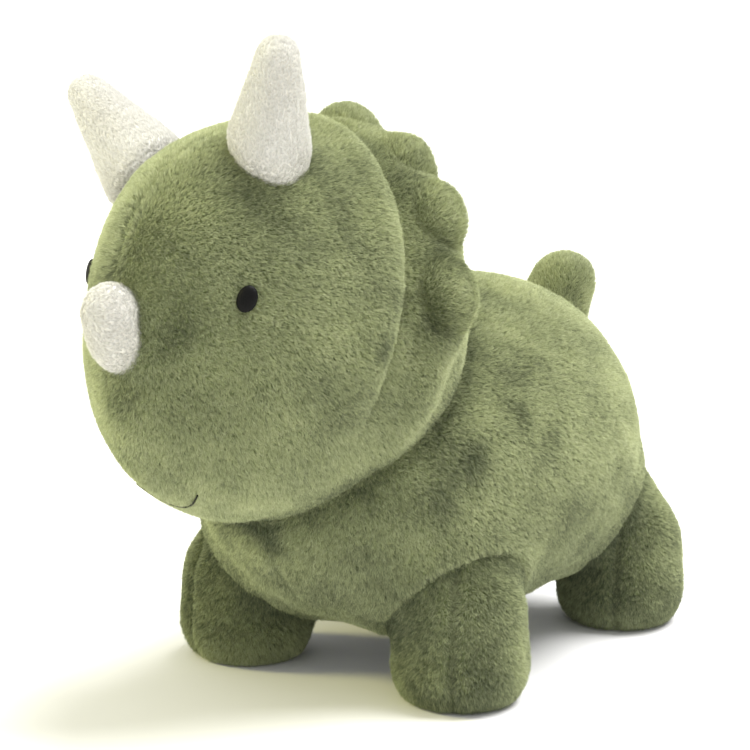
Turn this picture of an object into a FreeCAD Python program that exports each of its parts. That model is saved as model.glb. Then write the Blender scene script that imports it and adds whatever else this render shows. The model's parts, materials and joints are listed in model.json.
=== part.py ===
import FreeCAD, Part
import os

# A stuffed three-horned dinosaur that stands on four short legs. Millimetres, +Z up. The toy faces
# -Y and its own left side is +X. The origin is on the floor, below the middle of the toy's outline.
# Every cover is plush, drawn as thick as its backing and pile together, and holds a filling of fibre.
# The back of the head sits in a round hollow of the body, and the head nods and turns about the
# neck point. The tops of the legs and of the tail sit in hollows of the same kind.

DIMENSIONS = {
    # thickness of the plush, gap between a cover and its filling, gap between two moving bodies
    "pile": 5.0,
    "fill_gap": 0.3,
    "ease": 1.0,
    # middle of the body and of the four feet
    "mid_x": 8.4,
    "mid_y": 49.2,
    # neck point from there, which is also the origin of the head's own frame, and how the head is held
    "neck_side": -5.5,
    "neck_ahead": -85.0,
    "neck_up": 150.0,
    "head_turn": -8.0,
    "head_lift": -6.0,
    # head: half sizes, middle in the head's frame, how much the snout narrows
    "head_wide": 73.0,
    "head_tall": 86.0,
    "head_front": 105.0,
    "head_back": 66.0,
    "head_mid_y": -18.0,
    "head_mid_z": 12.5,
    "snout_taper": 0.4,
    "neck_swing": 6.0,
    "wad": 26.0,
    # frill: the face seam in the head's frame and its lean, then the scallops
    "seam_y": -34.0,
    "seam_lean": 13.0,
    "lobe_behind": 22.0,
    "lobe_reach": 23.0,
    "lobe_thick": 15.0,
    # brow horns and nose horn, in the head's frame
    "brow_y": -63.0,
    "brow_base": 22.0,
    "brow_tip": 9.0,
    "brow_long": 67.0,
    "left_x": 20.0,
    "left_z": 67.0,
    "left_splay": 14.0,
    "left_lean": 9.0,
    "right_x": 38.0,
    "right_z": 64.0,
    "right_splay": 52.0,
    "right_lean": 2.0,
    "nose_x": 2.5,
    "nose_y": -108.0,
    "nose_z": 0.0,
    "nose_base": 18.0,
    "nose_tip": 10.0,
    "nose_long": 36.0,
    "nose_lift": 50.0,
    # embroidery
    "thread": 1.2,
    "eye_x": 48.5,
    "eye_y": -93.5,
    "eye_z": 29.0,
    "eye_tall": 10.0,
    "eye_wide": 7.0,
    "mouth_y": -88.0,
    "mouth_z": -59.0,
    "mouth_wide": 26.0,
    "mouth_tall": 3.0,
    # body: half sizes, height of its middle, how far the chest rises
    "body_wide": 88.0,
    "body_tall": 79.0,
    "body_front": 136.0,
    "body_back": 101.0,
    "body_up": 92.0,
    "belly_seam": 40.0,
    # legs: half spacings of the feet, hip height, how far inward the hip is, radius of the hip ball,
    # height and top radius of the upright part, radius of the foot and of its rounded edge
    "leg_x": 57.0,
    "leg_y": 70.0,
    "hip_up": 52.0,
    "hip_in": 12.0,
    "hip_ball": 33.0,
    "shin_up": 36.0,
    "shin_top": 30.0,
    "foot": 32.0,
    "foot_round": 14.0,
    # tail: pivot, lean, radii and length
    "tail_y": 86.0,
    "tail_up": 118.0,
    "tail_lean": 29.0,
    "tail_ball": 21.0,
    "tail_tip": 15.0,
    "tail_long": 52.0,
    # how far the soft legs and tail swing each way, in degrees
    "leg_range": 12.0,
    "tail_range": 14.0,
}

# Places of a form's cross sections, as fractions of its half length
STATIONS = (-0.985, -0.93, -0.8, -0.6, -0.35, 0.0, 0.35, 0.6, 0.8, 0.93, 0.985)
# The scallops: angle from the crown in degrees, half width, and how deep the middle is in the head
CROWN = (0.0, 20.0, 17.5)
SIDE_SCALLOPS = {"upper": (32.0, 19.0, 15.5), "middle": (54.0, 19.0, 11.0), "lower": (78.0, 21.0, 8.5)}
# Half size of the blocks that split a form into panels
FAR = 300.0
# A rounded end is this much larger than the end of its cone, so that the two cross cleanly
TIP_SWELL = 1.02

doc = FreeCAD.newDocument("dinosaur")
sheet = doc.addObject("Spreadsheet::Sheet", "dims")
for row, (alias, value) in enumerate(DIMENSIONS.items(), start=1):
    sheet.set(f"A{row}", alias)
    sheet.set(f"B{row}", str(value))
    sheet.setAlias(f"B{row}", alias)
doc.recompute()

ALONG_Y_UPRIGHT = "rotation(vector(1; 1; 1); 240)"
ALONG_Y_FLAT = "rotation(vector(1; 0; 0); 90)"
PIECES = {}


def placement(x="0", y="0", z="0", turn="0", pitch="0", roll="0"):
    """Text of a placement: its angles turn about X, then Y, then Z."""
    return f"placement(vector({x}; {y}; {z}); rotation({turn}; {pitch}; {roll}))"


def bound(kind, name, where=None, **sizes):
    """A document object whose sizes and placement are bound to the sheet."""
    item = doc.addObject(kind, name)
    for size, text in sizes.items():
        item.setExpression(size, text)
    if where:
        item.setExpression("Placement", where)
    return item


def cut(name, base, *tools):
    """The base without each of the tools."""
    for count, tool in enumerate(tools):
        item = doc.addObject("Part::Cut", f"{name}_cut{count}")
        item.Base = base
        item.Tool = tool
        base = item
    return base


def joined(kind, name, *shapes):
    """A Part::MultiFuse or Part::MultiCommon of the shapes."""
    item = doc.addObject(kind, name)
    item.Shapes = list(shapes)
    return item


def block(name, x=(-FAR, FAR), y=(-FAR, FAR), z=(-FAR, FAR), where=None):
    """A large block between the given low and high corners, which splits a form into panels."""
    base = Part.Vertex(x[0], y[0], z[0]).Point
    item = doc.addObject("Part::Feature", name)
    item.Shape = Part.makeBox(x[1] - x[0], y[1] - y[0], z[1] - z[0], base)
    if where:
        item.setExpression("Placement", where)
    return item


def keep(label, item, frame=None):
    """Names a finished sub-part and puts it where its frame says."""
    if frame:
        item.setExpression("Placement", frame)
    item.Label = label
    PIECES[label] = item


def girth(fraction, fullness):
    """How wide a round form is at a fraction of its half length; a fullness of 2 is an ellipse."""
    return (1 - abs(fraction) ** fullness) ** (1 / fullness)


def pillow(name, form, inset="0"):
    """A closed stuffed form along Y, through elliptical sections that follow the girth curve."""
    upright = form["upright"]
    sections = []
    for step, fraction in enumerate(STATIONS):
        narrowing = f"(1 - {form['taper']} * {max(0.0, -fraction) ** 2:.5f})"
        half_x = f"({form['wide']} - {inset}) * {girth(fraction, form['fullness']):.5f} * {narrowing}"
        half_z = f"({form['tall']} - {inset}) * {girth(fraction, form['fullness']):.5f}"
        long_half = form["front"] if fraction < 0 else form["back"]
        middle = f"vector({form['x']}; {form['y']} + {fraction} * ({long_half} - {inset}); {form['z']})"
        facing = ALONG_Y_UPRIGHT if upright else ALONG_Y_FLAT
        sections.append(
            bound(
                "Part::Ellipse",
                f"{name}_section{step}",
                f"placement({middle}; {facing})",
                MajorRadius=half_z if upright else half_x,
                MinorRadius=half_x if upright else half_z,
            )
        )
    tips = {}
    for end, sign in (("front", "-"), ("back", "+")):
        tip_y = f"{form['y']} {sign} ({form[end]} - {inset})"
        tips[end] = bound("Part::Vertex", f"{name}_{end}", placement(form["x"], tip_y, form["z"]))
    loft = doc.addObject("Part::Loft", name)
    loft.Sections = [tips["front"], *sections, tips["back"]]
    loft.Solid = True
    return loft


def cone_form(name, base, tip, length, inset="0", where=None):
    """A cone with a round tip, along +Z from its base."""
    side = f"({length} - {tip})"
    cone = bound(
        "Part::Cone",
        f"{name}_side",
        Radius1=f"{base} - {inset}",
        Radius2=f"{tip} - {inset}",
        Height=side,
    )
    cap = bound("Part::Sphere", f"{name}_cap", placement(z=side), Radius=f"({tip} - {inset}) * {TIP_SWELL}")
    form = joined("Part::MultiFuse", name, cone, cap)
    if where:
        form.setExpression("Placement", where)
    return form


# ---------------------------------------------------------------- head, in its own frame
HEAD = {
    "wide": "dims.head_wide",
    "tall": "dims.head_tall",
    "front": "dims.head_front",
    "back": "dims.head_back",
    "x": "0",
    "y": "dims.head_mid_y",
    "z": "dims.head_mid_z",
    "taper": "dims.snout_taper",
    "fullness": 2.5,
    "upright": True,
}
HEAD_FRAME = placement(
    "dims.mid_x + dims.neck_side",
    "dims.mid_y + dims.neck_ahead",
    "dims.neck_up",
    turn="dims.head_turn",
    roll="dims.head_lift",
)
FILL_INSET = "(dims.pile + dims.fill_gap)"
OUTSIDE = "(-dims.fill_gap)"

head_outside = pillow("head_outside", HEAD)
head_inside = pillow("head_inside", HEAD, "dims.pile")
head_fill = pillow("head_fill", HEAD, FILL_INSET)
head_clear = pillow("head_clear", HEAD, OUTSIDE)
head_cover = cut("head_cover", head_outside, head_inside)

face_seam = placement(y="dims.seam_y", roll="-dims.seam_lean")
for side, x in (("left", (0, FAR)), ("right", (-FAR, 0))):
    for panel, y in (("face", (-FAR, 0)), ("back", (0, FAR))):
        half = block(f"{panel}_{side}_block", x=x, y=y, where=face_seam)
        panel_form = joined("Part::MultiCommon", f"head_{panel}_{side}", head_cover, half)
        keep(f"head_{panel}_panel_{side}", panel_form, HEAD_FRAME)

wad_hollow = bound("Part::Sphere", "wad_hollow", Radius="dims.wad + dims.ease")
keep("head_stuffing", cut("head_stuffing_form", head_fill, wad_hollow), HEAD_FRAME)
keep("neck_stuffing", bound("Part::Sphere", "neck_wad", Radius="dims.wad"), HEAD_FRAME)


def scallop(name, angle, half, sunk, inset="0"):
    """A flat rounded pouch that stands out from the head at an angle from the crown."""
    out_x = f"(dims.head_wide - {sunk}) * sin({angle} * 1deg)"
    out_z = f"(dims.head_mid_z + (dims.head_tall - {sunk}) * cos({angle} * 1deg))"
    behind = f"dims.seam_y + dims.lobe_behind + {out_z} * tan(dims.seam_lean * 1deg)"
    where = placement(out_x, behind, out_z, "0", f"{angle}", "0")
    return bound(
        "Part::Ellipsoid",
        name,
        where,
        Radius1=f"dims.lobe_reach - {inset}",
        Radius2=f"{half} - {inset}",
        Radius3=f"dims.lobe_thick - {inset}",
    )


scallops = {"crown": CROWN}
for height, (angle, half, sunk) in SIDE_SCALLOPS.items():
    scallops[f"left_{height}"] = (angle, half, sunk)
    scallops[f"right_{height}"] = (-angle, half, sunk)
for where, pouch in scallops.items():
    side, _, height = where.partition("_")
    above = {"upper": "crown", "middle": f"{side}_upper", "lower": f"{side}_middle"}.get(height)
    pressed = [head_clear]
    if above:
        pressed.append(scallop(f"lobe_{where}_above", *scallops[above], OUTSIDE))
    outer = scallop(f"lobe_{where}_outside", *pouch)
    inner = scallop(f"lobe_{where}_inside", *pouch, "dims.pile")
    core = scallop(f"lobe_{where}_core", *pouch, FILL_INSET)
    keep(f"frill_lobe_{where}", cut(f"lobe_{where}", outer, inner, *pressed), HEAD_FRAME)
    keep(f"frill_stuffing_{where}", cut(f"lobe_{where}_fill", core, *pressed), HEAD_FRAME)


def horn(name, base, tip, length, where):
    """A horn's cover and its filling, both cut off where they meet the head."""
    outer = cone_form(f"{name}_outside", base, tip, length, "0", where)
    inner = cone_form(f"{name}_inside", base, tip, length, "dims.pile", where)
    core = cone_form(f"{name}_core", base, tip, length, FILL_INSET, where)
    keep(name, cut(f"{name}_cover", outer, inner, head_clear), HEAD_FRAME)
    keep(f"{name}_stuffing", cut(f"{name}_fill", core, head_clear), HEAD_FRAME)


for side, sign in (("left", ""), ("right", "-")):
    splay, lean = f"{sign}dims.{side}_splay", f"dims.{side}_lean"
    root = placement(f"{sign}dims.{side}_x", "dims.brow_y", f"dims.{side}_z", "0", splay, lean)
    horn(f"brow_horn_{side}", "dims.brow_base", "dims.brow_tip", "dims.brow_long", root)
nose_root = placement("dims.nose_x", "dims.nose_y", "dims.nose_z", "0", "0", "90 - dims.nose_lift")
horn("nose_horn", "dims.nose_base", "dims.nose_tip", "dims.nose_long", nose_root)

thread_layer = cut("thread_layer", pillow("thread_outside", HEAD, "(-dims.thread)"), head_outside)
STITCH_DEPTH = "8"
for side, sign in (("left", ""), ("right", "-")):
    spot = bound(
        "Part::Ellipsoid",
        f"eye_{side}_spot",
        placement(f"{sign}dims.eye_x", "dims.eye_y", "dims.eye_z"),
        Radius1="dims.eye_tall / 2",
        Radius2=STITCH_DEPTH,
        Radius3="dims.eye_wide / 2",
    )
    keep(f"eye_{side}", joined("Part::MultiCommon", f"eye_{side}_patch", thread_layer, spot), HEAD_FRAME)
smile = bound(
    "Part::Ellipsoid",
    "mouth_spot",
    placement("0", "dims.mouth_y", "dims.mouth_z"),
    Radius1="dims.mouth_tall / 2",
    Radius2="dims.mouth_wide / 2",
    Radius3=STITCH_DEPTH,
)
keep("mouth", joined("Part::MultiCommon", "mouth_patch", thread_layer, smile), HEAD_FRAME)

# ---------------------------------------------------------------- body
BODY = {
    "wide": "dims.body_wide",
    "tall": "dims.body_tall",
    "front": "dims.body_front",
    "back": "dims.body_back",
    "x": "dims.mid_x",
    "y": "dims.mid_y",
    "z": "dims.body_up",
    "taper": "0",
    "fullness": 2.15,
    "upright": False,
}
LEG_SIDES = {"front_left": "+-", "front_right": "--", "rear_left": "++", "rear_right": "-+"}


def leg_place(side, inward="0", height="dims.hip_up"):
    """A frame above the middle of the foot or further inward, at the height of the hip."""
    x_sign, y_sign = LEG_SIDES[side]
    out_x = f"dims.mid_x {x_sign} (dims.leg_x - {inward})"
    return placement(out_x, f"dims.mid_y {y_sign} (dims.leg_y - {inward} / 2)", height)


def tail_place(roll):
    """A frame at the tail's pivot in the rump."""
    return placement("dims.mid_x", "dims.mid_y + dims.tail_y", "dims.tail_up", roll=roll)


def swing_hollow(name, ball, depth, give, ball_frame, flare_frame):
    """Room for a ball-ended limb along -Z: a ball, and a cone that widens as the limb swings."""
    round_end = bound("Part::Sphere", f"{name}_ball", ball_frame, Radius=f"{ball} + dims.ease")
    flare = bound(
        "Part::Cone",
        f"{name}_flare",
        placement(z=f"-{depth}"),
        Radius1=f"{ball} + 2 * dims.ease + {depth} * tan({give} * 1deg)",
        Radius2=f"{ball} + 2 * dims.ease",
        Height=depth,
    )
    placed_flare = bound("Part::Compound", f"{name}_placed_flare", flare_frame)
    placed_flare.Links = [flare]
    return joined("Part::MultiFuse", name, round_end, placed_flare)


head_hollow = pillow("head_hollow", HEAD, "(-dims.ease - dims.neck_swing)")
head_hollow_form = bound("Part::Compound", "head_hollow_form", HEAD_FRAME)
head_hollow_form.Links = [head_hollow]
hollows = [head_hollow_form]
for side in LEG_SIDES:
    hip_frame = leg_place(side, "dims.hip_in")
    leg_sizes = ("dims.hip_ball", "dims.hip_up", "dims.leg_range")
    hollows.append(swing_hollow(f"hip_{side}", *leg_sizes, hip_frame, leg_place(side)))
tail_mouth = tail_place("180 - dims.tail_lean")
tail_sizes = ("dims.tail_ball", "dims.tail_long", "dims.tail_range")
hollows.append(swing_hollow("tail_hollow", *tail_sizes, tail_mouth, tail_mouth))

body_outside = pillow("body_outside", BODY)
body_inside = pillow("body_inside", BODY, "dims.pile")
body_fill = pillow("body_fill", BODY, FILL_INSET)
body_core = cut("body_core", body_outside, *hollows)
body_cover = cut("body_cover", body_core, body_inside)
belly_seam = placement("dims.mid_x", z="dims.belly_seam")
belly_block = block("belly_block", z=(-FAR, 0), where=belly_seam)
keep("belly_panel", joined("Part::MultiCommon", "belly_form", body_cover, belly_block))
for side, x in (("left", (0, FAR)), ("right", (-FAR, 0))):
    half = block(f"body_{side}_block", x=x, z=(0, FAR), where=belly_seam)
    keep(f"body_panel_{side}", joined("Part::MultiCommon", f"body_{side}", body_cover, half))
keep("body_stuffing", joined("Part::MultiCommon", "body_fill_form", body_core, body_fill))


# ---------------------------------------------------------------- legs
def leg_form(name, inset, side):
    """A stubby leg: a ball in the hip, and an upright part with a round top and a rounded foot."""
    bend = f"(dims.foot_round - {inset} / 2)"
    foot_radius = f"(dims.foot - {inset})"
    top_radius = f"(dims.shin_top - {inset})"
    low, high = "(dims.foot_round - dims.hip_up)", "(dims.shin_up - dims.hip_up)"
    hip_frame = leg_place(side, "dims.hip_in")
    hip = bound("Part::Sphere", f"{name}_hip", hip_frame, Radius=f"dims.hip_ball - {inset}")
    shin = bound(
        "Part::Cone",
        f"{name}_shin",
        placement(z=low),
        Radius1=foot_radius,
        Radius2=top_radius,
        Height="dims.shin_up - dims.foot_round",
    )
    top = bound("Part::Sphere", f"{name}_top", placement(z=high), Radius=f"{top_radius} * {TIP_SWELL}")
    edge = bound(
        "Part::Torus",
        f"{name}_edge",
        placement(z=low),
        Radius1=f"{foot_radius} - {bend}",
        Radius2=bend,
    )
    tread = bound(
        "Part::Cylinder",
        f"{name}_tread",
        placement(z=f"{low} - {bend}"),
        Radius=f"{foot_radius} - {bend}",
        Height=f"2 * {bend}",
    )
    upright = joined("Part::MultiFuse", f"{name}_upright", shin, top, edge, tread)
    upright.setExpression("Placement", leg_place(side))
    return joined("Part::MultiFuse", name, hip, upright)


for side in LEG_SIDES:
    sole = bound(
        "Part::Cylinder",
        f"sole_{side}",
        leg_place(side, height="0"),
        Radius="dims.foot - dims.foot_round",
        Height="dims.pile",
    )
    outer = leg_form(f"leg_{side}_outside", "0", side)
    inner = leg_form(f"leg_{side}_inside", "dims.pile", side)
    core = leg_form(f"leg_{side}_core", FILL_INSET, side)
    keep(f"leg_cover_{side}", cut(f"leg_{side}", outer, inner, sole))
    keep(f"leg_stuffing_{side}", cut(f"leg_{side}_filling", core, sole))
    keep(f"sole_pad_{side}", sole)


# ---------------------------------------------------------------- tail
def tail_form(name, inset):
    """The tail's ball in the rump and its round-tipped cone."""
    root = bound("Part::Sphere", f"{name}_root", Radius=f"dims.tail_ball - {inset}")
    stem = cone_form(f"{name}_stem", "dims.tail_ball", "dims.tail_tip", "dims.tail_long", inset)
    return joined("Part::MultiFuse", name, root, stem)


tail_frame = tail_place("-dims.tail_lean")
tail_shell = cut("tail", tail_form("tail_outside", "0"), tail_form("tail_inside", "dims.pile"))
keep("tail_cover", tail_shell, tail_frame)
keep("tail_stuffing", tail_form("tail_core", FILL_INSET), tail_frame)

# ---------------------------------------------------------------- test every object, then write
doc.recompute()
faults = [item.Name for item in doc.Objects if {"Invalid", "Error"} & set(item.State)]
for label, item in PIECES.items():
    if item.Shape.isNull() or not item.Shape.isValid() or not item.Shape.Solids:
        faults.append(label)
if faults:
    raise RuntimeError("failed objects: " + ", ".join(faults))
os.makedirs("parts", exist_ok=True)
for label, item in PIECES.items():
    item.Shape.exportStep(f"parts/{label}.step")
    print(f"{label}: {len(item.Shape.Solids)} solid, {item.Shape.Volume:.0f} cubic mm")
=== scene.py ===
import json
import math

import bpy
import numpy as np
from mathutils import Euler, Matrix, Vector, noise
from mathutils.bvhtree import BVHTree


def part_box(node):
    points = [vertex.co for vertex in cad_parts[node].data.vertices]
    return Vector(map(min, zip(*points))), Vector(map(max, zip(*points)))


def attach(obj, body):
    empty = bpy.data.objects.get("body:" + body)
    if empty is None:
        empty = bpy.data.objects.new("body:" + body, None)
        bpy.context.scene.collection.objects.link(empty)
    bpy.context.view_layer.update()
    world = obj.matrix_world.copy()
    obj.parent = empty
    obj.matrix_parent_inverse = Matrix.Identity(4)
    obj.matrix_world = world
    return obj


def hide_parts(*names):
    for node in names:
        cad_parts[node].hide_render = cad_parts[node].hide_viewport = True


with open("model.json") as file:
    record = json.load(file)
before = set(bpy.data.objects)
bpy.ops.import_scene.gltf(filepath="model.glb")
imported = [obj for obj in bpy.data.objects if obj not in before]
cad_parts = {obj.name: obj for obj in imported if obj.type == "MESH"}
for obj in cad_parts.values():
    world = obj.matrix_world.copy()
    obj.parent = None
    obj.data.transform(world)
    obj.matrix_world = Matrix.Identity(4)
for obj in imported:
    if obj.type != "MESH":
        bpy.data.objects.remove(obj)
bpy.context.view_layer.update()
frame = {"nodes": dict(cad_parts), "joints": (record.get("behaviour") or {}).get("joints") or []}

# A stuffed three-horned dinosaur in short plush pile. Metres, +Z up, the toy faces -Y.
MM = 0.001
JOINTS = {joint["name"]: joint for joint in frame["joints"]}
NECK = Vector(JOINTS["neck_turn"]["pos_m"])
TAIL_PIVOT = Vector(JOINTS["tail_wag"]["pos_m"])
LEGS = ("front_left", "front_right", "rear_left", "rear_right")
MIDDLE = Vector([sum(JOINTS[f"leg_swing_{leg}"]["pos_m"][k] for leg in LEGS) / 4 for k in range(3)])
HEAD_TURN, HEAD_LIFT = math.radians(-8), math.radians(-6)
HEAD_FRAME = Matrix.Translation(NECK) @ Euler((HEAD_LIFT, 0, HEAD_TURN)).to_matrix().to_4x4()
TO_HEAD = HEAD_FRAME.inverted()
RANDOM = np.random.default_rng(7)


# ---------------------------------------------------------------- arrays of points
def points_of(mesh):
    """The vertices of a mesh as an array."""
    found = np.zeros(len(mesh.vertices) * 3, np.float32)
    mesh.vertices.foreach_get("co", found)
    return found.reshape(-1, 3).astype(float)


def set_points(mesh, points):
    """Moves the vertices of a mesh."""
    mesh.vertices.foreach_set("co", points.astype(np.float32).ravel())
    mesh.update()


def normals_of(mesh):
    """The vertex normals of a mesh as an array."""
    found = np.zeros(len(mesh.vertices) * 3, np.float32)
    mesh.vertex_normals.foreach_get("vector", found)
    return found.reshape(-1, 3).astype(float)


def moved(matrix, points):
    """Points through a 4 by 4 matrix."""
    grid = np.array(matrix)
    return points @ grid[:3, :3].T + grid[:3, 3]


def unit(vectors):
    """Vectors with a length of 1."""
    return vectors / np.maximum(np.linalg.norm(vectors, axis=-1, keepdims=True), 1e-9)


def ramp(values, low, high):
    """0 below low, 1 above high, smooth between."""
    share = np.clip((values - low) / (high - low), 0, 1)
    return share * share * (3 - 2 * share)


def hump(away, width):
    """1 where the distance is 0, falling off evenly to both sides over this width."""
    return np.exp(-((away / width) ** 2))


def middle_of(node):
    """The middle of a CAD node's box."""
    low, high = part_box(node)
    return (low + high) / 2


def lumps(points, size, seed=0.0, octaves=1):
    """Smooth noise from about -1 to 1 at each point, with lumps of the given size."""
    found = np.zeros(len(points))
    shift = Vector((seed * 17.3, seed * 5.1, seed * 9.7))
    for octave in range(octaves):
        scale = 2**octave / size
        found += np.array([noise.noise(Vector(p) * scale + shift) for p in points]) / 2**octave
    return found


def relief(points, *layers):
    """A rise and fall of the surface in layers of lumps: height in mm, size and seed of each."""
    return sum(height * MM * lumps(points, size, seed) for height, size, seed in layers)


# ---------------------------------------------------------------- the stuffed forms
class Form:
    """A full round form along Y in its own frame: half sizes, middle, narrowing and fullness."""

    def __init__(self, matrix, wide, tall, front, back, middle, taper, fullness):
        self.matrix = matrix
        self.inverse = matrix.inverted()
        self.wide, self.tall, self.front, self.back = wide, tall, front, back
        self.middle = np.array(middle)
        self.centre = np.array(matrix @ Vector(middle))
        self.taper, self.fullness = taper, fullness

    def girth(self, share):
        """The part of its full girth that the form has at this share of its length."""
        inside = np.clip(1 - np.abs(share) ** self.fullness, 1e-6, 1)
        return inside ** (1 / self.fullness)

    def outward(self, directions):
        """The points of the form's skin that a sphere's points go to."""
        share = directions[:, 1]
        ring = np.maximum(np.sqrt(np.clip(1 - share**2, 0, 1)), 1e-4)
        swell = self.girth(share) / ring
        narrow = 1 - self.taper * np.maximum(-share, 0) ** 2
        reach = np.where(share < 0, self.front, self.back)
        local = np.stack(
            [
                self.wide * narrow * swell * directions[:, 0],
                reach * share,
                self.tall * swell * directions[:, 2],
            ],
            1,
        )
        return moved(self.matrix, local + self.middle)

    def depth(self, points):
        """How far each point is inside the form, roughly, in metres. It is negative outside."""
        local = moved(self.inverse, points) - self.middle
        reach = np.where(local[:, 1] < 0, self.front, self.back)
        share = np.clip(local[:, 1] / reach, -0.999, 0.999)
        narrow = 1 - self.taper * np.maximum(-share, 0) ** 2
        sizes = np.stack([self.wide * narrow, np.full(len(local), self.tall)], 1)
        ring = np.linalg.norm(local[:, [0, 2]] / sizes, axis=1)
        ahead = np.abs(local[:, 1] / reach)
        whole = (ring**self.fullness + ahead**self.fullness) ** (1 / self.fullness)
        return (1 / np.maximum(whole, 1e-3) - 1) * np.linalg.norm(local, axis=1)


HEAD = Form(
    HEAD_FRAME,
    wide=0.073,
    tall=0.086,
    front=0.105,
    back=0.066,
    middle=(0, -0.018, 0.0125),
    taper=0.4,
    fullness=2.5,
)
BODY = Form(
    Matrix.Translation((MIDDLE.x, MIDDLE.y, 0)),
    wide=0.088,
    tall=0.079,
    front=0.136,
    back=0.101,
    middle=(0, 0, 0.092),
    taper=0,
    fullness=2.15,
)


def ball_mesh(name, cells):
    """A sphere of even square faces, cells to each of its six sides."""
    grid = np.linspace(-1, 1, cells + 1)
    bend = np.tan(grid * math.pi / 4)
    points, faces, index = [], [], {}
    for axis in range(3):
        for sign in (-1, 1):
            ids = np.zeros((cells + 1, cells + 1), int)
            for i in range(cells + 1):
                for j in range(cells + 1):
                    point = [0, 0, 0]
                    point[axis] = sign
                    point[(axis + 1) % 3] = bend[i]
                    point[(axis + 2) % 3] = bend[j]
                    key = tuple(round(v, 6) for v in point)
                    if key not in index:
                        index[key] = len(points)
                        points.append(point)
                    ids[i, j] = index[key]
            for i in range(cells):
                for j in range(cells):
                    corners = [ids[i, j], ids[i + 1, j], ids[i + 1, j + 1], ids[i, j + 1]]
                    faces.append([int(c) for c in (corners if sign > 0 else corners[::-1])])
    mesh = bpy.data.meshes.new(name)
    mesh.from_pydata(unit(np.array(points, float)).tolist(), [], faces)
    mesh.update()
    return mesh


def show(name, mesh):
    """A new object with this mesh, smooth shaded."""
    obj = bpy.data.objects.new(name, mesh)
    bpy.context.scene.collection.objects.link(obj)
    mesh.shade_smooth()
    return obj


def applied(obj):
    """Applies the modifiers of an object to its mesh."""
    graph = bpy.context.evaluated_depsgraph_get()
    done = bpy.data.meshes.new_from_object(obj.evaluated_get(graph))
    old = obj.data
    obj.modifiers.clear()
    obj.data = done
    bpy.data.meshes.remove(old)
    obj.data.shade_smooth()
    return obj


def remeshed(name, nodes, voxel, rounds):
    """One closed skin round several CAD nodes, with its edges smoothed."""
    points, faces = [], []
    for node in nodes:
        mesh = frame["nodes"][node].data
        start = len(points)
        points += [v.co[:] for v in mesh.vertices]
        faces += [[start + v for v in p.vertices] for p in mesh.polygons]
    mesh = bpy.data.meshes.new(name)
    mesh.from_pydata(points, [], faces)
    obj = show(name, mesh)
    remesh = obj.modifiers.new("remesh", "REMESH")
    remesh.mode = "VOXEL"
    remesh.voxel_size = voxel
    smooth = obj.modifiers.new("smooth", "SMOOTH")
    smooth.factor = 0.5
    smooth.iterations = rounds
    return outer_shell(applied(obj))


def outer_shell(obj):
    """Keeps only the largest connected part of a mesh."""
    mesh = obj.data
    label = np.arange(len(mesh.vertices))
    edges = np.zeros(len(mesh.edges) * 2, int)
    mesh.edges.foreach_get("vertices", edges)
    edges = edges.reshape(-1, 2)
    while True:
        low = np.minimum(label[edges[:, 0]], label[edges[:, 1]])
        before = label.copy()
        np.minimum.at(label, edges[:, 0], low)
        np.minimum.at(label, edges[:, 1], low)
        label = label[label]
        if (label == before).all():
            break
    names, counts = np.unique(label, return_counts=True)
    if len(names) == 1:
        return obj
    keep = label == names[counts.argmax()]
    order = np.cumsum(keep) - 1
    points = points_of(mesh)[keep]
    faces = [[int(order[v]) for v in p.vertices] for p in mesh.polygons if keep[p.vertices[0]]]
    clean = bpy.data.meshes.new(obj.name)
    clean.from_pydata(points.tolist(), [], faces)
    obj.data = clean
    obj.data.shade_smooth()
    return obj


def stuffed(obj, held, cap, frames=16):
    """Swells a skin with a cloth simulation.

    held is 1 where a seam holds the skin, and cap is the most that it may move.
    """
    start = points_of(obj.data)
    group = obj.vertex_groups.new(name="seams")
    for index in np.nonzero(held > 0.02)[0]:
        group.add([int(index)], float(held[index]), "REPLACE")
    cloth = obj.modifiers.new("cloth", "CLOTH")
    cloth.settings.quality = 4
    cloth.settings.mass = 0.2
    cloth.settings.tension_stiffness = 12
    cloth.settings.compression_stiffness = 8
    cloth.settings.bending_stiffness = 0.6
    cloth.settings.vertex_group_mass = "seams"
    cloth.settings.use_pressure = True
    cloth.settings.uniform_pressure_force = 4
    cloth.settings.effector_weights.gravity = 0
    cloth.collision_settings.use_collision = False
    cloth.point_cache.frame_start = 1
    cloth.point_cache.frame_end = frames
    for step in range(1, frames + 1):
        bpy.context.scene.frame_set(step)
    applied(obj)
    shift = points_of(obj.data) - start
    length = np.linalg.norm(shift, axis=1, keepdims=True)
    set_points(obj.data, start + shift * np.minimum(1, cap / np.maximum(length, 1e-9)))
    bpy.context.scene.frame_set(1)
    obj.vertex_groups.clear()


def subdivided(obj):
    """One round of subdivision."""
    smooth = obj.modifiers.new("smooth", "SUBSURF")
    smooth.levels, smooth.render_levels = 1, 1
    applied(obj)


# ---------------------------------------------------------------- materials
def srgb(red, green, blue):
    """A colour from 0 to 255 values as linear ones."""

    def linear(value):
        return ((value / 255 + 0.055) / 1.055) ** 2.4 if value > 10 else value / 255 / 12.92

    return (linear(red), linear(green), linear(blue), 1)


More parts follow.
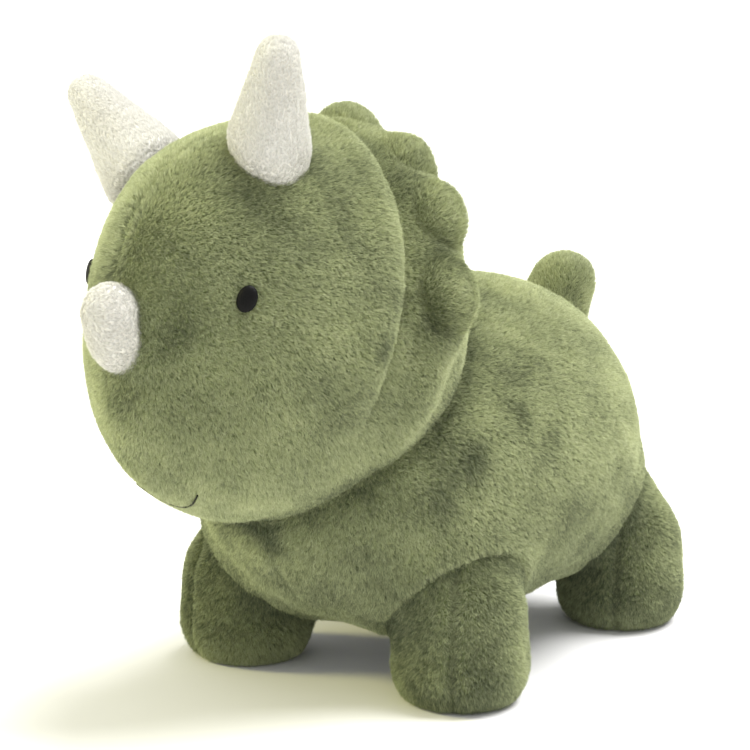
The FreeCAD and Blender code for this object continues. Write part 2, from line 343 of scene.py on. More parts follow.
class Nodes:
    """A short way to lay out shader nodes."""

    def __init__(self, name):
        self.material = bpy.data.materials.new(name)
        self.material.use_nodes = True
        self.tree = self.material.node_tree
        self.tree.nodes.clear()

    def add(self, kind, inputs=None, **settings):
        node = self.tree.nodes.new(kind)
        for key, value in settings.items():
            setattr(node, key, value)
        for key, value in (inputs or {}).items():
            if isinstance(value, bpy.types.NodeSocket):
                self.tree.links.new(value, node.inputs[key])
            else:
                node.inputs[key].default_value = value
        return node

    def ramp(self, value, *stops):
        node = self.add("ShaderNodeValToRGB", {"Fac": value})
        elements = node.color_ramp.elements
        while len(elements) < len(stops):
            elements.new(0.5)
        for element, (place, colour) in zip(elements, stops):
            element.position, element.color = place, colour
        return node.outputs["Color"]

    def surface(self, shader):
        out = self.add("ShaderNodeOutputMaterial")
        self.tree.links.new(shader.outputs[0], out.inputs["Surface"])
        return self.material


def backing(name, dark, light, grain):
    """The plush between the strands: matted pile with streaks along the nap."""
    made = Nodes(name)
    where = made.add("ShaderNodeTexCoord").outputs["Object"]
    fine = {"Vector": where, "Scale": 1 / grain, "Detail": 6.0, "Roughness": 0.65}
    streaks = made.add("ShaderNodeTexNoise", fine).outputs["Fac"]
    wide = {"Vector": where, "Scale": 28.0, "Detail": 3.0}
    patches = made.add("ShaderNodeTexNoise", wide).outputs["Fac"]
    mixed = made.add("ShaderNodeMath", {0: streaks, 1: patches}, operation="MULTIPLY")
    colour = made.ramp(mixed.outputs[0], (0.12, dark), (0.42, light))
    height = made.add("ShaderNodeBump", {"Height": streaks, "Strength": 0.9, "Distance": 1.2 * MM})
    shader = made.add(
        "ShaderNodeBsdfPrincipled",
        {
            "Base Color": colour,
            "Roughness": 0.95,
            "Normal": height.outputs[0],
            "Sheen Weight": 0.25,
            "Sheen Roughness": 0.5,
            "Specular IOR Level": 0.15,
        },
    )
    return made.surface(shader)


def strands(name, dark, middle, light, painted_root_shade=0.6):
    """Single fibres: each has its own tone, and is darker at its root as painted shade of the pile.
    """
    made = Nodes(name)
    tone = made.add("ShaderNodeAttribute", attribute_name="tone").outputs["Fac"]
    colour = made.ramp(tone, (0.0, dark), (0.5, middle), (1.0, light))
    along = made.add("ShaderNodeHairInfo").outputs["Intercept"]
    # painted shade: the colour darkens towards each strand's root, as if the pile around it shaded
    # it
    painted_shade_node = made.add("ShaderNodeMapRange", {"Value": along, "To Min": painted_root_shade, "To Max": 1.08})
    deep = made.add("ShaderNodeVectorMath", {0: colour, 1: painted_shade_node.outputs[0]}, operation="MULTIPLY")
    diffuse = made.add("ShaderNodeBsdfDiffuse", {"Color": deep.outputs[0]})
    through = made.add("ShaderNodeBsdfTranslucent", {"Color": deep.outputs[0]})
    soft = made.add("ShaderNodeMixShader", {0: 0.3, 1: diffuse.outputs[0], 2: through.outputs[0]})
    gloss = made.add(
        "ShaderNodeBsdfHair", {"Color": (0.9, 0.95, 0.8, 1), "RoughnessU": 0.45, "RoughnessV": 0.9}
    )
    mixed = made.add("ShaderNodeMixShader", {0: 0.06, 1: soft.outputs[0], 2: gloss.outputs[0]})
    return made.surface(mixed)


# The green skin is darker than the green strands: painted shade in the gaps between the strands
GREEN_SKIN = backing("green_plush", srgb(84, 94, 60), srgb(146, 156, 108), 1.6 * MM)
CREAM_SKIN = backing("cream_plush", srgb(222, 218, 208), srgb(252, 251, 247), 1.2 * MM)
GREEN_FUR = strands("green_strands", srgb(70, 79, 52), srgb(184, 191, 146), srgb(222, 226, 186))
CREAM_FUR = strands(
    "cream_strands",
    srgb(212, 210, 204),
    srgb(230, 229, 225),
    srgb(242, 242, 240),
    painted_root_shade=0.80,
)


# ---------------------------------------------------------------- pile
PILE = 2.4 * MM
PILE_LOBE = 3.0 * MM
PILE_HORN = 1.7 * MM
IN_TUFT = 6
TUFT_RADIUS = 0.36 * MM
STRAND_RADIUS = 0.055 * MM
STRAND_STEPS = np.array([0.0, 0.35, 0.7, 1.0])
STRAND_TAPER = np.array([1.0, 0.9, 0.7, 0.35])
# Painted shade: the green pile darkens towards the floor, fully below the first height and not at
# all above the second
PAINTED_LOW_SHADE, PAINTED_LOW_SHADE_FROM_Z, PAINTED_LOW_SHADE_TO_Z = 0.22, 0.02, 0.115
# Painted shade in the creases where the body meets the head, legs and tail, fading over this width
PAINTED_CREASE_SHADE, PAINTED_CREASE_WIDTH = 0.30, 6 * MM

# Darker patches of pile, partly pile brushed the other way and partly painted shade under the
# horns, the frill and the head and beside seams: place in mm, reach in mm, how much darker
HEAD_PATCHES = [
    ((38.7, -81.0, 65.9), 13.0, 0.26),
    ((40.4, -53.9, 79.5), 11.0, 0.22),
    ((55.4, -50.7, 62.2), 12.0, 0.18),
    ((29.1, -111.1, 17.2), 9.5, 0.36),
    ((22.7, -115.9, 6.7), 9.0, 0.22),
    ((4.8, -119.8, -16.2), 9.0, 0.28),
    ((71.2, -38.9, 9.0), 7.5, 0.40),
    ((70.8, -31.7, 29.6), 7.0, 0.30),
    ((68.0, -8.0, 46.0), 8.0, 0.30),
    ((76.0, -14.0, 20.0), 9.0, 0.28),
    ((52.0, -12.0, 72.0), 7.0, 0.24),
    ((-38.0, -80.0, 62.0), 12.0, 0.25),
    ((-60.0, -52.0, 20.0), 14.0, 0.20),
]
BODY_PATCHES = [
    ((67.1, -41.9, 138.4), 6.5, 0.42),
    ((73.8, -51.0, 125.7), 7.5, 0.40),
    ((82.5, -38.0, 111.2), 7.5, 0.26),
    ((69.3, -83.2, 109.9), 10.0, 0.34),
    ((64.0, -97.9, 95.2), 11.0, 0.24),
    ((1.6, -133.3, 74.2), 7.0, 0.28),
    ((-70.0, 10.0, 130.0), 9.0, 0.24),
    ((-40.0, 60.0, 145.0), 11.0, 0.20),
]


def nap_and_painted_shade(root, body):
    """How much darker the pile is in the patches of a body: partly brushed nap, partly painted
    shade.
    """
    if body == "head":
        local, patches = moved(TO_HEAD, root), HEAD_PATCHES
    else:
        local, patches = root - np.array((MIDDLE.x, MIDDLE.y, 0)), BODY_PATCHES
    local = local + 0.0035 * np.stack([lumps(local, 0.012, seed) for seed in (21, 22, 23)], 1)
    darker = np.zeros(len(root))
    for place, reach, depth in patches:
        away = np.linalg.norm(local - np.array(place) * MM, axis=1)
        darker += depth * hump(away, reach * MM)
    return darker


def fur(name, skin, body, material, nap, pile=PILE, lift=50, per_mm2=10.0, keep=None, hidden=()):
    """Strands of pile on a skin, in small tufts that lie along the nap.

    lift is the angle of the pile over the skin in degrees. keep picks the roots that stay. hidden
    lists other forms, and how deep inside each of them there is still pile.
    """
    mesh = skin.data
    points, normals = points_of(mesh), normals_of(mesh)
    mesh.calc_loop_triangles()
    corners = np.zeros(len(mesh.loop_triangles) * 3, int)
    mesh.loop_triangles.foreach_get("vertices", corners)
    corners = corners.reshape(-1, 3)
    a, b, c = (points[corners[:, k]] for k in range(3))
    area = np.linalg.norm(np.cross(b - a, c - a), axis=1) / 2
    share = 1.0
    count = int(area.sum() / MM**2 * per_mm2 * share / IN_TUFT)
    ladder = np.cumsum(area)
    face = np.searchsorted(ladder, (np.arange(count) + RANDOM.random(count)) / count * ladder[-1])
    face = np.minimum(face, len(area) - 1)
    mix = RANDOM.random((count, 2))
    mix = np.where(mix.sum(1, keepdims=True) > 1, 1 - mix, mix)
    weight = np.stack([1 - mix.sum(1), mix[:, 0], mix[:, 1]], 1)[:, :, None]

    def spread(values):
        """Values at the vertices, carried over to the roots."""
        return (values[corners[face]] * weight).sum(1)

    root, normal = spread(points), unit(spread(normals))
    # slow changes over the skin: of the tone, and twice of the way the nap runs
    fields = (lumps(points, 0.022, 3, 2), lumps(points, 0.035, 5), lumps(points, 0.009, 8))
    field = spread(np.stack(fields, 1))
    stay = np.ones(count, bool) if keep is None else keep(root)
    for form, margin in hidden:
        stay &= form.depth(root) < margin
    root, normal, field = root[stay], normal[stay], field[stay]
    count = len(root)
    along = nap(root)
    along = unit(along - normal * (along * normal).sum(1, keepdims=True))
    across = np.cross(normal, along)
    turn = 0.35 * field[:, 1] + 0.25 * field[:, 2] + RANDOM.normal(0, 0.16, count)
    along, across = (
        along * np.cos(turn)[:, None] + across * np.sin(turn)[:, None],
        across * np.cos(turn)[:, None] - along * np.sin(turn)[:, None],
    )
    size = (count, IN_TUFT)
    angle = RANDOM.random(size) * 2 * math.pi
    away = TUFT_RADIUS * np.sqrt(RANDOM.random(size))
    offset = (
        along[:, None] * (away * np.cos(angle))[..., None]
        + across[:, None] * (away * np.sin(angle))[..., None]
    )
    tilt = np.radians(lift) + 0.20 * field[:, None, 0] + RANDOM.normal(0, 0.18, size)
    tilt = np.clip(tilt, 0.12, 1.3)
    long = pile * (1 + 0.12 * RANDOM.normal(0, 1, count)[:, None] + 0.1 * RANDOM.normal(0, 1, size))
    stray = RANDOM.normal(0, 0.28, size)
    up = (long * np.sin(tilt))[..., None] * STRAND_STEPS
    ahead = (long * np.cos(tilt))[..., None] * STRAND_STEPS**1.5
    aside = (long * stray)[..., None] * STRAND_STEPS**2
    pull = 1 - 0.3 * STRAND_STEPS**2
    strand = (
        root[:, None, None]
        + offset[:, :, None] * pull[:, None]
        + normal[:, None, None] * up[..., None]
        + along[:, None, None] * ahead[..., None]
        + across[:, None, None] * aside[..., None]
    ).reshape(-1, 3)
    strand[:, 2] = np.maximum(strand[:, 2], 0.2 * MM)
    tone = 0.5 + 0.20 * field[:, :1] + RANDOM.normal(0, 0.12, (count, 1))
    tone = tone + RANDOM.normal(0, 0.10, size)
    # darker patches: partly brushed nap, partly painted shade under the horns, the frill and the
    # head
    if body in ("head", "torso"):
        tone -= nap_and_painted_shade(root, body)[:, None]
    # painted shade: the green pile is darker towards the floor
    if material == GREEN_FUR:
        tone -= PAINTED_LOW_SHADE * (1 - ramp(root[:, 2], PAINTED_LOW_SHADE_FROM_Z, PAINTED_LOW_SHADE_TO_Z))[:, None]
    # painted shade in the crease where this piece meets the body
    for form, _ in hidden:
        if form is BODY or body == "torso":
            tone -= PAINTED_CREASE_SHADE * np.exp(-np.abs(form.depth(root)) / PAINTED_CREASE_WIDTH)[:, None]
    curves = bpy.data.hair_curves.new(name)
    curves.add_curves([len(STRAND_STEPS)] * (count * IN_TUFT))
    curves.attributes["position"].data.foreach_set("vector", strand.astype(np.float32).ravel())
    thin = np.tile(STRAND_RADIUS * STRAND_TAPER, count * IN_TUFT).astype(np.float32)
    curves.attributes.new("radius", "FLOAT", "POINT").data.foreach_set("value", thin)
    tones = np.clip(tone, 0, 1).astype(np.float32).ravel()
    curves.attributes.new("tone", "FLOAT", "CURVE").data.foreach_set("value", tones)
    curves.materials.append(material)
    obj = bpy.data.objects.new(name, curves)
    bpy.context.scene.collection.objects.link(obj)
    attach(obj, body)


def finish_skin(obj, body, material, nodes):
    """Gives a stuffed skin its material and its body, and hides the CAD nodes that it stands for.
    """
    obj.data.materials.clear()
    obj.data.materials.append(material)
    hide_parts(*nodes)
    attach(obj, body)


def ball_form(name, form, cells, inset):
    """A skin of a form, a little inside it."""
    obj = show(name, ball_mesh(name, cells))
    skin = form.outward(points_of(obj.data))
    set_points(obj.data, skin)
    set_points(obj.data, skin - inset * normals_of(obj.data))
    return obj


SKIN_INSET = 3.2 * MM  # room for the pile between a skin and the form
HELD_WIDTH = 0.003  # how far to each side a seam holds the cloth


# ---------------------------------------------------------------- head
SEAM_Y, SEAM_LEAN = -0.034, math.radians(13)
SNOUT_RISE, SNOUT_WIDTH = 2.2 * MM, 0.009
MIDDLE_GROOVE, MIDDLE_GROOVE_WIDTH = 0.9 * MM, 0.0016
RIM_RISE, RIM_AHEAD, RIM_WIDTH = 2.0 * MM, 0.009, 0.008
SEAM_DEPTH, SEAM_AHEAD, SEAM_BEHIND, SEAM_LOW_SHARE = 4.2 * MM, 0.002, 0.010, 0.06
CHEEK_RISE, CHEEK_BEHIND, CHEEK_WIDTH = 6.5 * MM, 0.024, 0.009


def behind_seam(local):
    """How far points of the head's frame are behind the seam between the face and the frill."""
    return (local[:, 1] - SEAM_Y) * math.cos(SEAM_LEAN) - local[:, 2] * math.sin(SEAM_LEAN)


head = ball_form("head_skin", HEAD, 36, SKIN_INSET)
local = moved(TO_HEAD, points_of(head.data))
behind = behind_seam(local)
held = np.maximum(hump(behind, HELD_WIDTH), hump(local[:, 0], HELD_WIDTH) * (behind < 0))
stuffed(head, held, 2.2 * MM)
subdivided(head)
points, outward = points_of(head.data), normals_of(head.data)
local = moved(TO_HEAD, points)
behind = behind_seam(local)
from_middle = np.abs(local[:, 0])
front = behind < 0
push = relief(points, (0.9, 0.045, 1), (0.4, 0.012, 2), (0.3, 0.0065, 17))
# the snout is fuller along its middle, with the middle seam drawn in
push += front * SNOUT_RISE * np.exp(-from_middle / SNOUT_WIDTH) * ramp(-local[:, 2], -0.03, 0.02)
push -= MIDDLE_GROOVE * hump(from_middle, MIDDLE_GROOVE_WIDTH) * front
# the face swells towards the seam that joins it to the frill, which fades towards the chin
high = ramp(local[:, 2], -0.034, 0.004)
rim = RIM_RISE * np.exp(-((behind + RIM_AHEAD) ** 2) / RIM_WIDTH**2)
push += high * np.where(front, rim, 0)
drawn_in = np.exp(np.where(front, behind / SEAM_AHEAD, -behind / SEAM_BEHIND))
push -= (SEAM_LOW_SHARE + (1 - SEAM_LOW_SHARE) * high) * (SEAM_DEPTH * drawn_in)
# below the lowest scallop the frill goes on as a soft ridge
around = np.degrees(np.arctan2(from_middle, local[:, 2] - HEAD.middle[2]))
ridge = ramp(around, 72, 92) * (1 - ramp(around, 100, 140))
push += CHEEK_RISE * ridge * hump(behind - CHEEK_BEHIND, CHEEK_WIDTH)
set_points(head.data, points + outward * push[:, None])
HEAD_NODES = [
    "head_face_panel_left",
    "head_face_panel_right",
    "head_back_panel_left",
    "head_back_panel_right",
    "head_stuffing",
    "neck_stuffing",
]
finish_skin(head, "head", GREEN_SKIN, HEAD_NODES)


# ---------------------------------------------------------------- body
BACK_GROOVE, BACK_GROOVE_WIDTH = 1.6 * MM, 0.003
BELLY_SEAM, BELLY_GROOVE, BELLY_GROOVE_WIDTH = 0.040, 1.2 * MM, 0.0026
NECK_OVERLAP = 8 * MM

body = ball_form("body_skin", BODY, 36, SKIN_INSET)
points = points_of(body.data)
beside = np.abs(points[:, 0] - MIDDLE.x)
stuffed(body, hump(beside, HELD_WIDTH), 2.5 * MM)
subdivided(body)
points, outward = points_of(body.data), normals_of(body.data)
beside = np.abs(points[:, 0] - MIDDLE.x)
push = relief(points, (1.6, 0.06, 4), (0.5, 0.013, 6), (0.3, 0.0065, 18))
push -= BACK_GROOVE * hump(beside, BACK_GROOVE_WIDTH)
push -= BELLY_GROOVE * hump(points[:, 2] - BELLY_SEAM, BELLY_GROOVE_WIDTH)
points = points + outward * push[:, None]
# where the skin would lie deep inside the head, it is brought out to just under its surface
arm = points - HEAD.centre
length = np.linalg.norm(arm, axis=1)
depth = HEAD.depth(points)
full = 1 / (1 + depth / length)
out = 1 / full - NECK_OVERLAP / length
points = np.where((depth > NECK_OVERLAP)[:, None], HEAD.centre + arm * out[:, None], points)
set_points(body.data, points)
BODY_NODES = ["belly_panel", "body_panel_left", "body_panel_right", "body_stuffing"]
finish_skin(body, "torso", GREEN_SKIN, BODY_NODES)


# ---------------------------------------------------------------- legs and tail
LEG_SEAM_TURN = math.radians(25)
LEG_GROOVE, LEG_GROOVE_WIDTH = 3.2 * MM, 0.0024
TAIL_LEAN, TAIL_LEAN_RUN = np.array((3.5, 1.5, 0)), 0.045  # in mm, over this much height


def shrunk(obj, inset, floor=True):
    """Moves a skin inwards by its pile, but not up from the floor."""
    points, outward = points_of(obj.data), normals_of(obj.data)
    step = outward * inset
    if floor:
        step[:, 2] *= ramp(points[:, 2], 2 * MM, 14 * MM)
    set_points(obj.data, points - step)


leg_skins = {}
for leg in LEGS:
    nodes = [f"leg_cover_{leg}", f"sole_pad_{leg}", f"leg_stuffing_{leg}"]
    skin = remeshed(f"leg_skin_{leg}", nodes, 3.5 * MM, 14)
    shrunk(skin, 3 * MM)
    points = points_of(skin.data)
    stuffed(skin, 1 - ramp(points[:, 2], 3 * MM, 12 * MM), 2.0 * MM)
    subdivided(skin)
    points, outward = points_of(skin.data), normals_of(skin.data)
    foot = np.array(middle_of(f"sole_pad_{leg}"))
    side = 1 if foot[0] > MIDDLE.x else -1
    seam = np.array([side * math.sin(LEG_SEAM_TURN), -math.cos(LEG_SEAM_TURN), 0])
    reach = points - foot
    off_seam = np.abs(reach @ np.cross(seam, (0, 0, 1)))
    push = relief(points, (1.1, 0.028, 9), (0.5, 0.010, 10))
    push -= LEG_GROOVE * hump(off_seam, LEG_GROOVE_WIDTH) * ramp(np.abs(reach @ seam), 0.008, 0.02)
    push *= ramp(points[:, 2], 1 * MM, 6 * MM)
    set_points(skin.data, points + outward * push[:, None])
    finish_skin(skin, f"leg_{leg}", GREEN_SKIN, nodes)
    leg_skins[leg] = skin

tail = remeshed("tail_skin", ["tail_cover", "tail_stuffing"], 3 * MM, 8)
shrunk(tail, 0.8 * MM, floor=False)
stuffed(tail, np.zeros(len(tail.data.vertices)), 1.2 * MM)
subdivided(tail)
points, outward = points_of(tail.data), normals_of(tail.data)
push = relief(points, (0.9, 0.022, 11), (0.4, 0.009, 12))
leaning = ramp(points[:, 2], TAIL_PIVOT.z, TAIL_PIVOT.z + TAIL_LEAN_RUN)
tipped = leaning[:, None] * TAIL_LEAN * MM
set_points(tail.data, points + outward * push[:, None] + tipped)
finish_skin(tail, "tail", GREEN_SKIN, ["tail_cover", "tail_stuffing"])


def flowing(skin, other, reach, rise):
    """Swells a skin where it comes near another, as fabric does along the seam that joins them."""
    corners = [v.co for v in other.data.vertices]
    tree = BVHTree.FromPolygons(corners, [p.vertices for p in other.data.polygons])
    points, outward = points_of(skin.data), normals_of(skin.data)
    near = np.full(len(points), reach)
    for index, point in enumerate(points):
        distance = tree.find_nearest(point, reach)[3]
        if distance is not None:
            near[index] = distance
    set_points(skin.data, points + outward * (rise * (1 - near / reach) ** 2)[:, None])


for leg, skin in leg_skins.items():
    flowing(skin, body, 16 * MM, 4.5 * MM)
    flowing(body, skin, 20 * MM, 5.5 * MM)
flowing(tail, body, 18 * MM, 4 * MM)
flowing(body, tail, 20 * MM, 6 * MM)


# ---------------------------------------------------------------- frill
# Each scallop: degrees round the head from its top, half its width and how deep it sits in mm
LOBES = {"crown": (0.0, 20.0, 17.5)}
SIDE_LOBES = {"upper": (32, 19, 15.5), "middle": (54, 19, 11), "lower": (78, 21, 8.5)}
LOBE_BEHIND = 0.022
for height, (angle, half, sunk) in SIDE_LOBES.items():
    LOBES[f"left_{height}"] = (angle, half, sunk)
    LOBES[f"right_{height}"] = (-angle, half, sunk)
lobe_forms = {}
for name, (angle, half, sunk) in LOBES.items():
    bend = math.radians(angle)
    aside = (HEAD.wide - sunk * MM) * math.sin(bend)
    up = HEAD.middle[2] + (HEAD.tall - sunk * MM) * math.cos(bend)
    place = Vector((aside, SEAM_Y + LOBE_BEHIND + up * math.tan(SEAM_LEAN), up))
    form = Form(
        HEAD_FRAME @ Matrix.Translation(place) @ Matrix.Rotation(bend, 4, "Y"),
        wide=half * MM,
        tall=23 * MM,
        front=15 * MM,
        back=15 * MM,
        middle=(0, 0, 0),
        taper=0,
        fullness=2.3,
    )
    lobe = ball_form(f"frill_lobe_skin_{name}", form, 16, 2.5 * MM)
    stuffed(lobe, np.zeros(len(lobe.data.vertices)), 1.0 * MM, frames=8)
    subdivided(lobe)
    points, outward = points_of(lobe.data), normals_of(lobe.data)
    push = relief(points, (0.8, 0.016, 13), (0.3, 0.007, 14))
    set_points(lobe.data, points + outward * push[:, None])
    nodes = [f"frill_lobe_{name}", f"frill_stuffing_{name}"]
    finish_skin(lobe, "head", GREEN_SKIN, nodes)
    lobe_forms[name] = (lobe, form)
    flowing(head, lobe, 13 * MM, 4.0 * MM)


# ---------------------------------------------------------------- horns
def sunk_in(obj, form, near, by):
    """Pushes the base of a piece into the form that it is sewn on."""
    points = points_of(obj.data)
    depth = form.depth(points)
    share = 1 - ramp(-depth, near * 0.6, near * 1.6)
    set_points(obj.data, points - unit(points - form.centre) * (share * by)[:, None])


# How much fuller each horn is made, in mm
HORNS = {"brow_horn_left": 0.7, "brow_horn_right": 0.7, "nose_horn": 1.9}
NOSE_STRETCH = 0.10  # the nose horn reaches lower by this share of its height
horn_skins = {}
for name, fuller in HORNS.items():
    skin = remeshed(f"{name}_skin", [name, f"{name}_stuffing"], 2.5 * MM, 8)
    shrunk(skin, 0.9 * MM, floor=False)
    sunk_in(skin, HEAD, 3 * MM, 8 * MM)
    stuffed(skin, np.zeros(len(skin.data.vertices)), 1.0 * MM, frames=8)
    subdivided(skin)
    points, outward = points_of(skin.data), normals_of(skin.data)
    push = relief(points, (0.9, 0.020, 15), (0.3, 0.008, 16)) + fuller * MM
    points = points + outward * push[:, None]
    if name == "nose_horn":
        points[:, 2] -= NOSE_STRETCH * (points[:, 2].max() - points[:, 2])
    set_points(skin.data, points)
    finish_skin(skin, "head", CREAM_SKIN, [name, f"{name}_stuffing"])
    horn_skins[name] = skin


# ---------------------------------------------------------------- embroidery
EYE_TALL, EYE_WIDE, EYE_RISE, EYE_SUNK = 11.0 * MM, 8.2 * MM, 1.8 * MM, 0.6
STITCH = 0.42 * MM
STITCH_RIDGE, STITCH_SLANT = 0.14 * MM, 0.25
# The mouth in mm: half its width, its middle to the side and down, its curve, how deep it lies
MOUTH_HALF, MOUTH_ASIDE, MOUTH_DOWN, MOUTH_CURVE, MOUTH_SUNK = 15.5, 3.5, 3.5, 8.0, 0.6
MOUTH_THREAD = 0.36 * MM


def stitched(name, centre, outward, up, tall, wide, rise):
    """A satin stitch patch: a low oval dome of threads that lie side by side."""
    across = outward.cross(up).normalized()
    up = across.cross(outward).normalized()
    rings, spokes = 14, 72
    points, faces = [], []
    for side in (1, -1):
        for ring in range(rings + 1):
            share = ring / rings
            for spoke in range(spokes):
                turn = 2 * math.pi * spoke / spokes
                u, v = share * math.cos(turn) * wide / 2, share * math.sin(turn) * tall / 2
                wave = math.sin(math.pi * (u + STITCH_SLANT * v) / STITCH)
                ridge = STITCH_RIDGE * abs(wave) * (side > 0)
                level = side * rise * math.sqrt(max(0, 1 - share**2.2)) + ridge
                points.append(centre + across * u + up * v + outward * level)
        start = 0 if side > 0 else (rings + 1) * spokes
        for ring in range(rings):
            for spoke in range(spokes):
                a, b = start + ring * spokes + spoke, start + ring * spokes + (spoke + 1) % spokes
                quad = [a, a + spokes, b + spokes, b]
                faces.append(quad if side > 0 else quad[::-1])
    mesh = bpy.data.meshes.new(name)
    mesh.from_pydata(points, [], faces)
    obj = show(name, mesh)
    weld = obj.modifiers.new("weld", "WELD")
    weld.merge_threshold = 0.02 * MM
    return applied(obj)


def on_head(across, up):
    """The point of the head's form at a place seen from the front, in the head's own frame."""
    near, far = -0.13, -0.02
    for _ in range(30):
        half = (near + far) / 2
        inside = HEAD.depth(moved(HEAD_FRAME, np.array([[across, half, up]])))[0] > 0
        near, far = (near, half) if inside else (half, far)
    return HEAD_FRAME @ Vector((across, near, up))


thread = Nodes("black_thread")
thread_where = thread.add("ShaderNodeTexCoord").outputs["Object"]
fibres = thread.add(
    "ShaderNodeTexNoise", {"Vector": thread_where, "Scale": 2600.0, "Detail": 3.0}
).outputs["Fac"]
thread_colour = thread.ramp(fibres, (0.3, srgb(2, 2, 2)), (0.7, srgb(11, 10, 9)))
thread_height = thread.add(
    "ShaderNodeBump", {"Height": fibres, "Strength": 0.5, "Distance": 0.2 * MM}
)
THREAD = thread.surface(
    thread.add(
        "ShaderNodeBsdfPrincipled",
        {
            "Base Color": thread_colour,
            "Roughness": 0.5,
            "Specular IOR Level": 0.12,
            "Normal": thread_height.outputs[0],
        },
    )
)
eye_spots = {side: middle_of(f"eye_{side}") for side in ("left", "right")}
for side, spot in eye_spots.items():
    out = (spot - HEAD_FRAME @ Vector((0, -0.03, 0.02))).normalized()
    upright = (HEAD_FRAME.to_3x3() @ Vector((0, 0.50, 1))).normalized()
    place = spot - out * EYE_SUNK * MM
    eye = stitched(f"eye_thread_{side}", place, out, upright, EYE_TALL, EYE_WIDE, EYE_RISE)
    eye.data.materials.append(THREAD)
    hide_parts(f"eye_{side}")
    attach(eye, "head")

mouth_up = (TO_HEAD @ middle_of("mouth")).z
smile = bpy.data.curves.new("mouth_thread", "CURVE")
smile.dimensions, smile.resolution_u = "3D", 6
smile.bevel_depth, smile.bevel_resolution = MOUTH_THREAD, 3
line = smile.splines.new("NURBS")
line.points.add(8)
for index, point in enumerate(line.points):
    share = index / 4 - 1
    across = (MOUTH_ASIDE + MOUTH_HALF * share) * MM
    place = on_head(across, mouth_up + (MOUTH_CURVE * share**2 - MOUTH_DOWN) * MM)
    inward = (Vector(HEAD.centre) - place).normalized()
    point.co = (*(place + inward * MOUTH_SUNK * MM), 1)
line.order_u, line.use_endpoint_u = 3, True
smile.use_fill_caps = True
mouth = bpy.data.objects.new("mouth_thread", smile)
bpy.context.scene.collection.objects.link(mouth)
smile.materials.append(THREAD)
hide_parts("mouth")
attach(mouth, "head")


# ---------------------------------------------------------------- pile on every skin
NOSE = np.array([0, -0.125, 0.005])
HEAD_AXES = np.array(HEAD_FRAME.to_3x3())
EYE_CLEAR = np.array([3.3, 3.3, 4.2])  # half sizes in mm of the bare place under an eye
SOLE_CLEAR = 1.2 * MM
UNDER_BODY = [(BODY, 9 * MM)]


def head_nap(root):
    """Back from the nose and down the cheeks."""
    local = moved(TO_HEAD, root)
    flow = unit(local - NOSE) + np.array([0, 0.10, -1.10])
    return flow @ HEAD_AXES.T


def body_nap(root):
    """Back along the toy and down its sides."""
    return np.tile(np.array([0, 0.45, -0.9]), (len(root), 1))


def leg_nap(root):
    """Down to the foot."""
    return np.tile(np.array([0, 0.1, -1.0]), (len(root), 1))


def off_eyes(root):
    """True where no eye is stitched."""
    clear = np.ones(len(root), bool)
    for spot in eye_spots.values():
        clear &= np.linalg.norm((root - np.array(spot)) / EYE_CLEAR / MM, axis=1) > 1
    return clear


def off_sole(root):
    """True above the sole."""
    return root[:, 2] > SOLE_CLEAR


def tail_nap(root):
    """Up to the tip."""
    along = np.array(middle_of("tail_cover")) - np.array(TAIL_PIVOT)
    return np.tile(along, (len(root), 1))


def horn_nap(root):
    """Out from the head to the tip."""
    return root - HEAD.centre


fur("head_pile", head, "head", GREEN_FUR, head_nap, keep=off_eyes, hidden=[(BODY, 14 * MM)])
fur("body_pile", body, "torso", GREEN_FUR, body_nap, hidden=[(HEAD, 3 * MM)])
for leg, skin in leg_skins.items():
    body_name = f"leg_{leg}"
    fur(f"leg_pile_{leg}", skin, body_name, GREEN_FUR, leg_nap, keep=off_sole, hidden=UNDER_BODY)
fur("tail_pile", tail, "tail", GREEN_FUR, tail_nap, hidden=UNDER_BODY)
for name, (lobe, form) in lobe_forms.items():
    middle = np.array(form.matrix.translation)
    hub = middle - np.array(form.matrix.to_3x3() @ Vector((0, 0, 0.03)))
    fur(
        f"frill_pile_{name}",
        lobe,
        "head",
        GREEN_FUR,
        lambda root, hub=hub: root - hub,
        pile=PILE_LOBE,
        hidden=[(HEAD, 9 * MM)],
    )
for name, skin in horn_skins.items():
    fur(
        f"{name}_pile",
        skin,
        "head",
        CREAM_FUR,
        horn_nap,
        pile=PILE_HORN,
        lift=30,
        per_mm2=9.0,
        hidden=[(HEAD, 6 * MM)],
    )


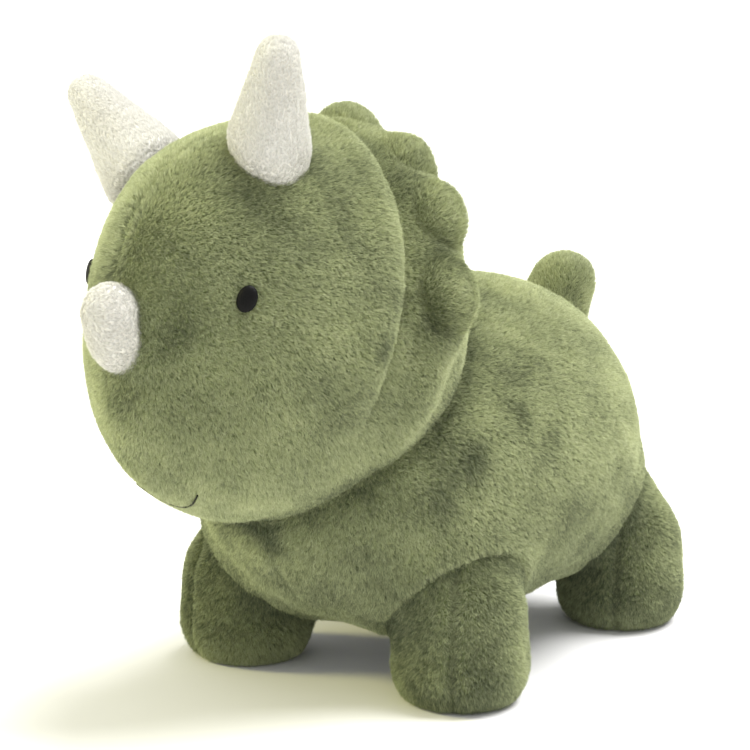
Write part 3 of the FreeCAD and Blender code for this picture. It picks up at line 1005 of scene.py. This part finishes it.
# ---------------------------------------------------------------- floor, light and camera
FLOOR = 20
floor = show("floor", bpy.data.meshes.new("floor"))
floor.data.from_pydata(
    [(-FLOOR, -FLOOR, 0), (FLOOR, -FLOOR, 0), (FLOOR, FLOOR, 0), (-FLOOR, FLOOR, 0)],
    [],
    [(0, 1, 2, 3)],
)
paper = Nodes("pale_floor")
plain = paper.add("ShaderNodeBsdfPrincipled", {"Base Color": (0.8, 0.8, 0.8, 1), "Roughness": 0.9})
floor.data.materials.append(paper.surface(plain))

TURN, RISE = math.radians(32.84), math.radians(12.33)
CAMERA_AWAY = 1.2
BACK = Vector((math.sin(TURN) * math.cos(RISE), -math.cos(TURN) * math.cos(RISE), math.sin(RISE)))
RIGHT = Vector((math.cos(TURN), math.sin(TURN), 0))
UP = BACK.cross(RIGHT)
target = Vector((MIDDLE.x, MIDDLE.y, 0.120))
lens = bpy.data.cameras.new("camera")
lens.lens, lens.sensor_width = 126.7, 36
camera = bpy.data.objects.new("camera", lens)
bpy.context.scene.collection.objects.link(camera)
aim = target - RIGHT * 0.0291 + UP * 0.0025
camera.location = target + BACK * CAMERA_AWAY
camera.rotation_mode = "QUATERNION"
camera.rotation_quaternion = (camera.location - aim).to_track_quat("Z", "Y")
bpy.context.scene.camera = camera


def sun(name, direction, strength, softness, colour):
    """A distant soft light from a direction."""
    light = bpy.data.lights.new(name, "SUN")
    light.energy, light.angle, light.color = strength, math.radians(softness), colour
    obj = bpy.data.objects.new(name, light)
    bpy.context.scene.collection.objects.link(obj)
    obj.location = target + direction.normalized()
    obj.rotation_mode = "QUATERNION"
    obj.rotation_quaternion = direction.to_track_quat("Z", "Y")


sun("top_light", UP + RIGHT * 0.40 + BACK * 0.10, 5.1, 40, (1, 0.99, 0.98))
sun("side_light", -RIGHT * 0.92 + UP * 0.50 + BACK * 0.03, 2.1, 14, (1, 0.95, 0.40))
world = bpy.data.worlds.new("studio")
world.use_nodes = True
sky = world.node_tree.nodes["Background"]
sky.inputs["Color"].default_value = (1, 1, 1, 1)
sky.inputs["Strength"].default_value = 0.92
bpy.context.scene.world = world
bpy.context.scene.view_settings.view_transform = "Standard"
